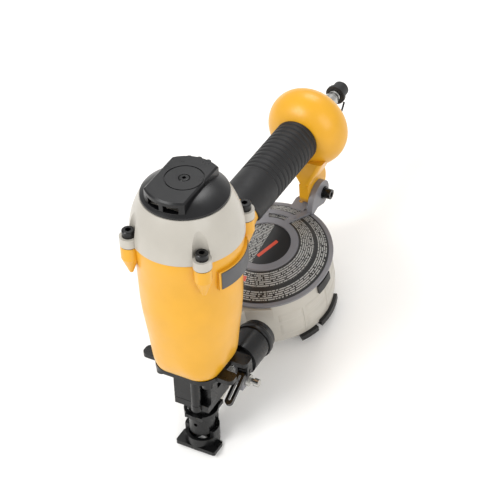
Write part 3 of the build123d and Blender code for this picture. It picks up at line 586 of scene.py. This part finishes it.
# Zinc-plated steel off a lathe: bright grey, with rings of tool marks
PLATED_STEEL = TurnedMetal("steel_zinc_plated", "#b9b8b4", 0.24, metallic=1.0, relief_mm=0.012, mottle=0.06)
# Black zinc plating on bent wire: glossy, with a dark metal's reflections
BLACK_ZINC = Finish("steel_black_zinc", "#121213", 0.2, metallic=0.5, grain_mm=0.4, relief_mm=0.01)
# Aluminium turned and bored: whiter than the plated steel, with the same rings
MACHINED_ALUMINIUM = TurnedMetal("aluminium_turned", "#c9cacc", 0.3, metallic=1.0, relief_mm=0.012)
# Polyester film: smooth, with a low gloss, printed in two colours on the lid and plain on the badges
LABEL_FILM = PrintedLabel("film_printed_label", "#161515", 0.4, relief_mm=0.004, mottle=0.0)
BADGE_FILM = Finish("film_plain_badge", "#4b4b4d", 0.45, grain_mm=0.4, relief_mm=0.01)
# Matt white card under the tool
FLOOR_CARD = Finish("card_white_matt", "#fbfaf8", 0.85, grain_mm=3.0, relief_mm=0.01, mottle=0.0)

FINISH_OF_SLOT = {
    "orange_paint": ORANGE_POWDER_COAT,
    "cap_paint": CREAM_ENAMEL,
    "black_plastic": BLACK_NYLON,
    "black_steel": BLACK_OXIDE,
    "plated_steel": PLATED_STEEL,
    "grip_rubber": GRIP_RUBBER,
    "seal_rubber": SEAL_RUBBER,
    "grey_paint": GREY_ENAMEL,
    "magazine_paint": CREAM_ENAMEL,
    "cast_aluminium": MACHINED_ALUMINIUM,
    "label_film": LABEL_FILM,
    "badge_film": BADGE_FILM,
}

# Nodes whose plating differs from the rest of their slot
FINISH_OF_NODE = {"door_latch": BLACK_ZINC, "latch_pin": BLACK_ZINC}


class Finishes:
    """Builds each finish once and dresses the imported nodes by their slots."""

    def __init__(self) -> None:
        """Starts with no material built."""
        self.built: dict[str, bpy.types.Material] = {}

    def get(self, finish: Finish) -> bpy.types.Material:
        """Gives the material of a finish, building it the first time."""
        if finish.name not in self.built:
            self.built[finish.name] = finish.build()
        return self.built[finish.name]

    def dress_nodes(self) -> None:
        """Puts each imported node's own finish on it."""
        for subpart in frame["record"]["subparts"]:
            node = frame["nodes"][subpart["node"]]
            node.data.materials.clear()
            finish = FINISH_OF_NODE.get(subpart["node"], FINISH_OF_SLOT[subpart["material_slot"]])
            node.data.materials.append(self.get(finish))
        log.info("%d nodes dressed in %d finishes", len(frame["nodes"]), len(self.built))

    def fit(self, piece: bpy.types.Object, body: Body, slot: str) -> None:
        """Dresses a new piece in its slot's finish and hangs it on its body.

        Args:
            piece: the new piece.
            body: the moving group that carries it.
            slot: the material slot's name in the record.
        """
        piece.data.materials.append(self.get(FINISH_OF_SLOT[slot]))
        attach(piece, body.value)
        log.info("%s rides on %s, %d faces", piece.name, body.value, len(piece.data.polygons))


# --- Sub-assemblies -----------------------------------------------------------------------


@dataclass
class Grip:
    """The rubber sleeve on the handle, with rounded ribs over its rear half.

    Lengths run along the handle from the drive line, and the handle's axis is `axis_height` above
    the foot's sole.
    """

    axis_height: float = 182.0
    inner: float = 15.45
    outer: float = 18.25
    rear: float = 174.1
    front: float = 75.0
    front_slope: float = 0.5
    first_rib: float = 108.0
    last_rib: float = 170.0
    rib_pitch: float = 5.6
    rib_depth: float = 0.9
    front_edge: float = 1.5
    rear_edge: float = 1.0
    edge_drop: float = 0.8
    across: int = 144
    along: int = 420

    def build(self, finishes: Finishes) -> None:
        """Makes the sleeve: radius = outer - depth of the groove at that length, front edge slanted.

        The groove's depth is rib_depth times a raised cosine to the fourth power, so that ribs are
        broad and grooves narrow. Round the sleeve the front edge is at front - slope times height.
        At each end the radius drops by edge_drop, as one minus a square root.

        Args:
            finishes: the materials.
        """
        angle = np.linspace(0, 2 * np.pi, self.across, endpoint=False)[:, None]
        share = np.linspace(0, 1, self.along)[None, :]
        start = self.front - self.front_slope * self.outer * np.sin(angle)
        length = start + (self.rear - start) * share
        wave = (0.5 + 0.5 * np.cos(2 * np.pi * (length - self.first_rib) / self.rib_pitch)) ** 4
        ribbed = (length > self.first_rib - self.rib_pitch / 2) & (length < self.last_rib)
        front_lip = np.clip((length - start) / self.front_edge, 0, 1)
        rear_lip = np.clip((self.rear - length) / self.rear_edge, 0, 1)
        rounding = self.edge_drop * (1 - np.sqrt(front_lip * rear_lip))
        radius = self.outer - self.rib_depth * wave * ribbed - rounding
        skin = np.stack([radius * np.cos(angle), length, self.axis_height + radius * np.sin(angle)], -1)
        bore = np.stack(
            [
                self.inner * np.cos(angle) + 0 * share,
                length,
                self.axis_height + self.inner * np.sin(angle) + 0 * share,
            ],
            -1,
        )
        shell = np.concatenate([skin, bore[:, ::-1]], 1)
        faces = grid_faces(self.across, shell.shape[1], True, True)[:, ::-1]
        piece = build_piece("ribbed_grip", [(shell, faces)], TOOL)
        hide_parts("grip_sleeve")
        finishes.fit(piece, Body.HOUSING, "grip_rubber")


@dataclass
class DrumWall:
    """Raised ribs and steps moulded on the drum's wall, measured along the drum's axes."""

    wall: float = 51.6
    floor: float = 49.3
    top: float = -3.2
    bend: float = -36.0
    bottom: float = -53.5
    height: float = 0.55
    depth: float = 0.4
    edge: float = 0.35
    per_degree: float = 0.9
    levels: int = 9
    spans: tuple[tuple[float, float], ...] = ((-56, -33), (-30, -4), (-1, 26), (29, 58))
    bands: tuple[tuple[float, float], ...] = ((-27.0, -16.5), (-45.5, -29.0))
    rib_angles: tuple[float, ...] = (-31.5, -2.5, 27.5)
    rib_half: float = 0.9
    rib_span: tuple[float, float] = (-52.0, -16.0)

    def radius(self, level: np.ndarray) -> np.ndarray:
        """Gives the wall's radius at a level: straight down to the bend, then drawn in."""
        return np.interp(level, [self.bottom, self.bend, self.top], [self.floor, self.wall, self.wall])

    def patch(self, span: tuple[float, float], band: tuple[float, float]) -> tuple[np.ndarray, np.ndarray]:
        """Makes one raised patch of wall.

        The patch is a pillow: its radius is the wall's plus the height times a rounded box across
        both spans, and its border lies `depth` inside the wall. One degree of wall is about
        `per_degree` long.

        Args:
            span: the angles where it starts and ends, in degrees.
            band: its lowest and highest levels.

        Returns:
            Points and faces.
        """
        width, rise = span[1] - span[0], band[1] - band[0]
        columns = max(6, int(width / 2))
        u = np.linspace(0, 1, columns)[:, None]
        v = np.linspace(0, 1, self.levels)[None, :]
        angle = np.radians(span[0] + width * u) + 0 * v
        level = band[0] + rise * v + 0 * u
        side_inset = np.minimum(u, 1 - u) * width * self.per_degree
        inset = np.minimum(side_inset, np.minimum(v, 1 - v) * rise)
        swell = np.sqrt(np.clip(inset / self.edge, 0, 1))
        radius = self.radius(level) - self.depth + (self.height + self.depth) * swell
        points = np.stack([radius * np.cos(angle), radius * np.sin(angle), level], -1)
        return points, grid_faces(columns, self.levels, False, False)

    def build(self, finishes: Finishes) -> None:
        """Makes the upper panels, the lower band and the upright ribs as one moulded piece.

        Args:
            finishes: the materials.
        """
        parts = [self.patch(span, band) for span in self.spans for band in self.bands]
        for angle in self.rib_angles:
            parts.append(self.patch((angle - self.rib_half, angle + self.rib_half), self.rib_span))
        piece = build_piece("drum_wall_panels", parts, DRUM)
        finishes.fit(piece, Body.DRUM, "magazine_paint")


@dataclass
class FeedCap:
    """The moulded cap on the feed cylinder: a collar, a step and a domed end.

    Lengths run along the cylinder, which is parallel to the handle and `side` beside it.
    """

    side: float = 23.0
    height: float = 75.5
    start: float = 49.0
    end: float = 61.4
    collar: float = 15.6
    step: float = 13.9
    bore: float = 14.55
    socket: float = 10.0
    socket_depth: float = 8.0
    bore_depth: float = 4.0
    rim: float = 0.4
    collar_edge: float = 0.3
    collar_depth: float = 4.6
    chamfer_depth: float = 6.6
    dome_width: float = 3.5
    dome_height: float = 2.4

    def build(self, finishes: Finishes) -> None:
        """Turns the cap: socket, rim, collar, step, then a dome of quarter ellipse section.

        Args:
            finishes: the materials.
        """
        flat = self.step - self.dome_width
        shoulder = self.end - self.dome_height
        dome = [
            (flat + self.dome_width * math.cos(turn), shoulder + self.dome_height * math.sin(turn))
            for turn in np.linspace(0, np.pi / 2, 12)
        ]
        profile = [
            (0.0, self.start + self.socket_depth),
            (self.socket, self.start + self.socket_depth),
            (self.socket, self.start + self.bore_depth),
            (self.bore, self.start + self.bore_depth),
            (self.bore, self.start),
            (self.collar - self.rim, self.start),
            (self.collar, self.start + self.rim),
            (self.collar, self.start + self.collar_depth),
            (self.collar - self.collar_edge, self.start + self.collar_depth + self.rim),
            (self.step, self.start + self.chamfer_depth),
            *dome,
            (0.0, self.end),
        ]
        origin = Vector(TOOL.place(np.array([self.side, 0.0, self.height])))
        piece = build_piece("feed_cap_domed", [turned(profile)], Axes(origin, TOOL.z, TOOL.x, TOOL.y))
        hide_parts("feed_end_cap")
        finishes.fit(piece, Body.HOUSING, "black_plastic")


# --- Camera, light and floor --------------------------------------------------------------


@dataclass(frozen=True)
class Lamp:
    """One square soft light: where it hangs and its edge in metres, and its power in watts."""

    name: str
    place: tuple[float, float, float]
    size: float
    watts: float


@dataclass
class Studio:
    """A pale sweep, soft lights from above and a long lens looking down at the tool."""

    azimuth: float = 41.228
    elevation: float = 54.085
    roll: float = -18.157
    distance: float = 1.530374
    lens: float = 147.13
    sensor: float = 36.0
    far: float = 20.0
    target: tuple[float, float, float] = (0.014816, -0.038172, 0.134720)
    floor_half: float = 6.0
    aim: tuple[float, float, float] = (0.0, 0.0, 0.12)
    lamps: tuple[Lamp, ...] = (
        Lamp("key_light", (-0.9, -1.1, 1.9), 1.0, 26.0),
        Lamp("fill_light", (1.6, -0.6, 1.3), 1.2, 12.0),
        Lamp("back_light", (-0.3, 1.6, 1.6), 1.0, 16.0),
    )
    surround: float = 0.72

    def camera(self) -> None:
        """Places the camera at its distance from the target, then rolls it about its line of sight."""
        azimuth, elevation = math.radians(self.azimuth), math.radians(self.elevation)
        level = math.cos(elevation)
        back = Vector((math.sin(azimuth) * level, -math.cos(azimuth) * level, math.sin(elevation)))
        lens = bpy.data.cameras.new("camera")
        lens.lens = self.lens
        lens.sensor_width = self.sensor
        lens.clip_end = self.far
        camera = bpy.data.objects.new("camera", lens)
        bpy.context.scene.collection.objects.link(camera)
        turn = back.to_track_quat("Z", "Y").to_matrix().to_4x4()
        roll = Matrix.Rotation(math.radians(self.roll), 4, "Z")
        camera.matrix_world = Matrix.Translation(Vector(self.target) + back * self.distance) @ turn @ roll
        bpy.context.scene.camera = camera

    def floor(self) -> None:
        """Lays the pale floor, a plain square sheet at z = 0."""
        half = self.floor_half
        corners = [(x, y, 0.0) for x, y in ((-half, -half), (half, -half), (half, half), (-half, half))]
        mesh = bpy.data.meshes.new("floor")
        mesh.from_pydata(corners, [], [(0, 1, 2, 3)])
        floor = bpy.data.objects.new("floor", mesh)
        bpy.context.scene.collection.objects.link(floor)
        mesh.materials.append(FLOOR_CARD.build())

    def hang(self, lamp: Lamp) -> None:
        """Hangs one square soft light that faces the tool.

        Args:
            lamp: its name, place, size and power.
        """
        light = bpy.data.lights.new(lamp.name, "AREA")
        light.size = lamp.size
        light.energy = lamp.watts
        fitting = bpy.data.objects.new(lamp.name, light)
        bpy.context.scene.collection.objects.link(fitting)
        away = Vector(lamp.place) - Vector(self.aim)
        turn = away.to_track_quat("Z", "Y").to_matrix().to_4x4()
        fitting.matrix_world = Matrix.Translation(lamp.place) @ turn

    def build(self) -> None:
        """Sets the stage: camera, floor, lights and an even white surround."""
        self.camera()
        self.floor()
        for lamp in self.lamps:
            self.hang(lamp)
        world = bpy.data.worlds.new("surround")
        world.use_nodes = True
        background = world.node_tree.nodes["Background"]
        background.inputs["Color"].default_value = linear("#ffffff")
        background.inputs["Strength"].default_value = self.surround
        bpy.context.scene.world = world
        bpy.context.scene.view_settings.view_transform = "Standard"


def main() -> None:
    """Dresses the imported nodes, builds the new pieces, then sets the stage."""
    logging.basicConfig(level=logging.INFO, format="%(name)s: %(message)s")
    finishes = Finishes()
    finishes.dress_nodes()
    for assembly in (Grip(), DrumWall(), FeedCap()):
        assembly.build(finishes)
        log.info("%s done", type(assembly).__name__)
    Studio().build()


if __name__ == "__main__":
    main()
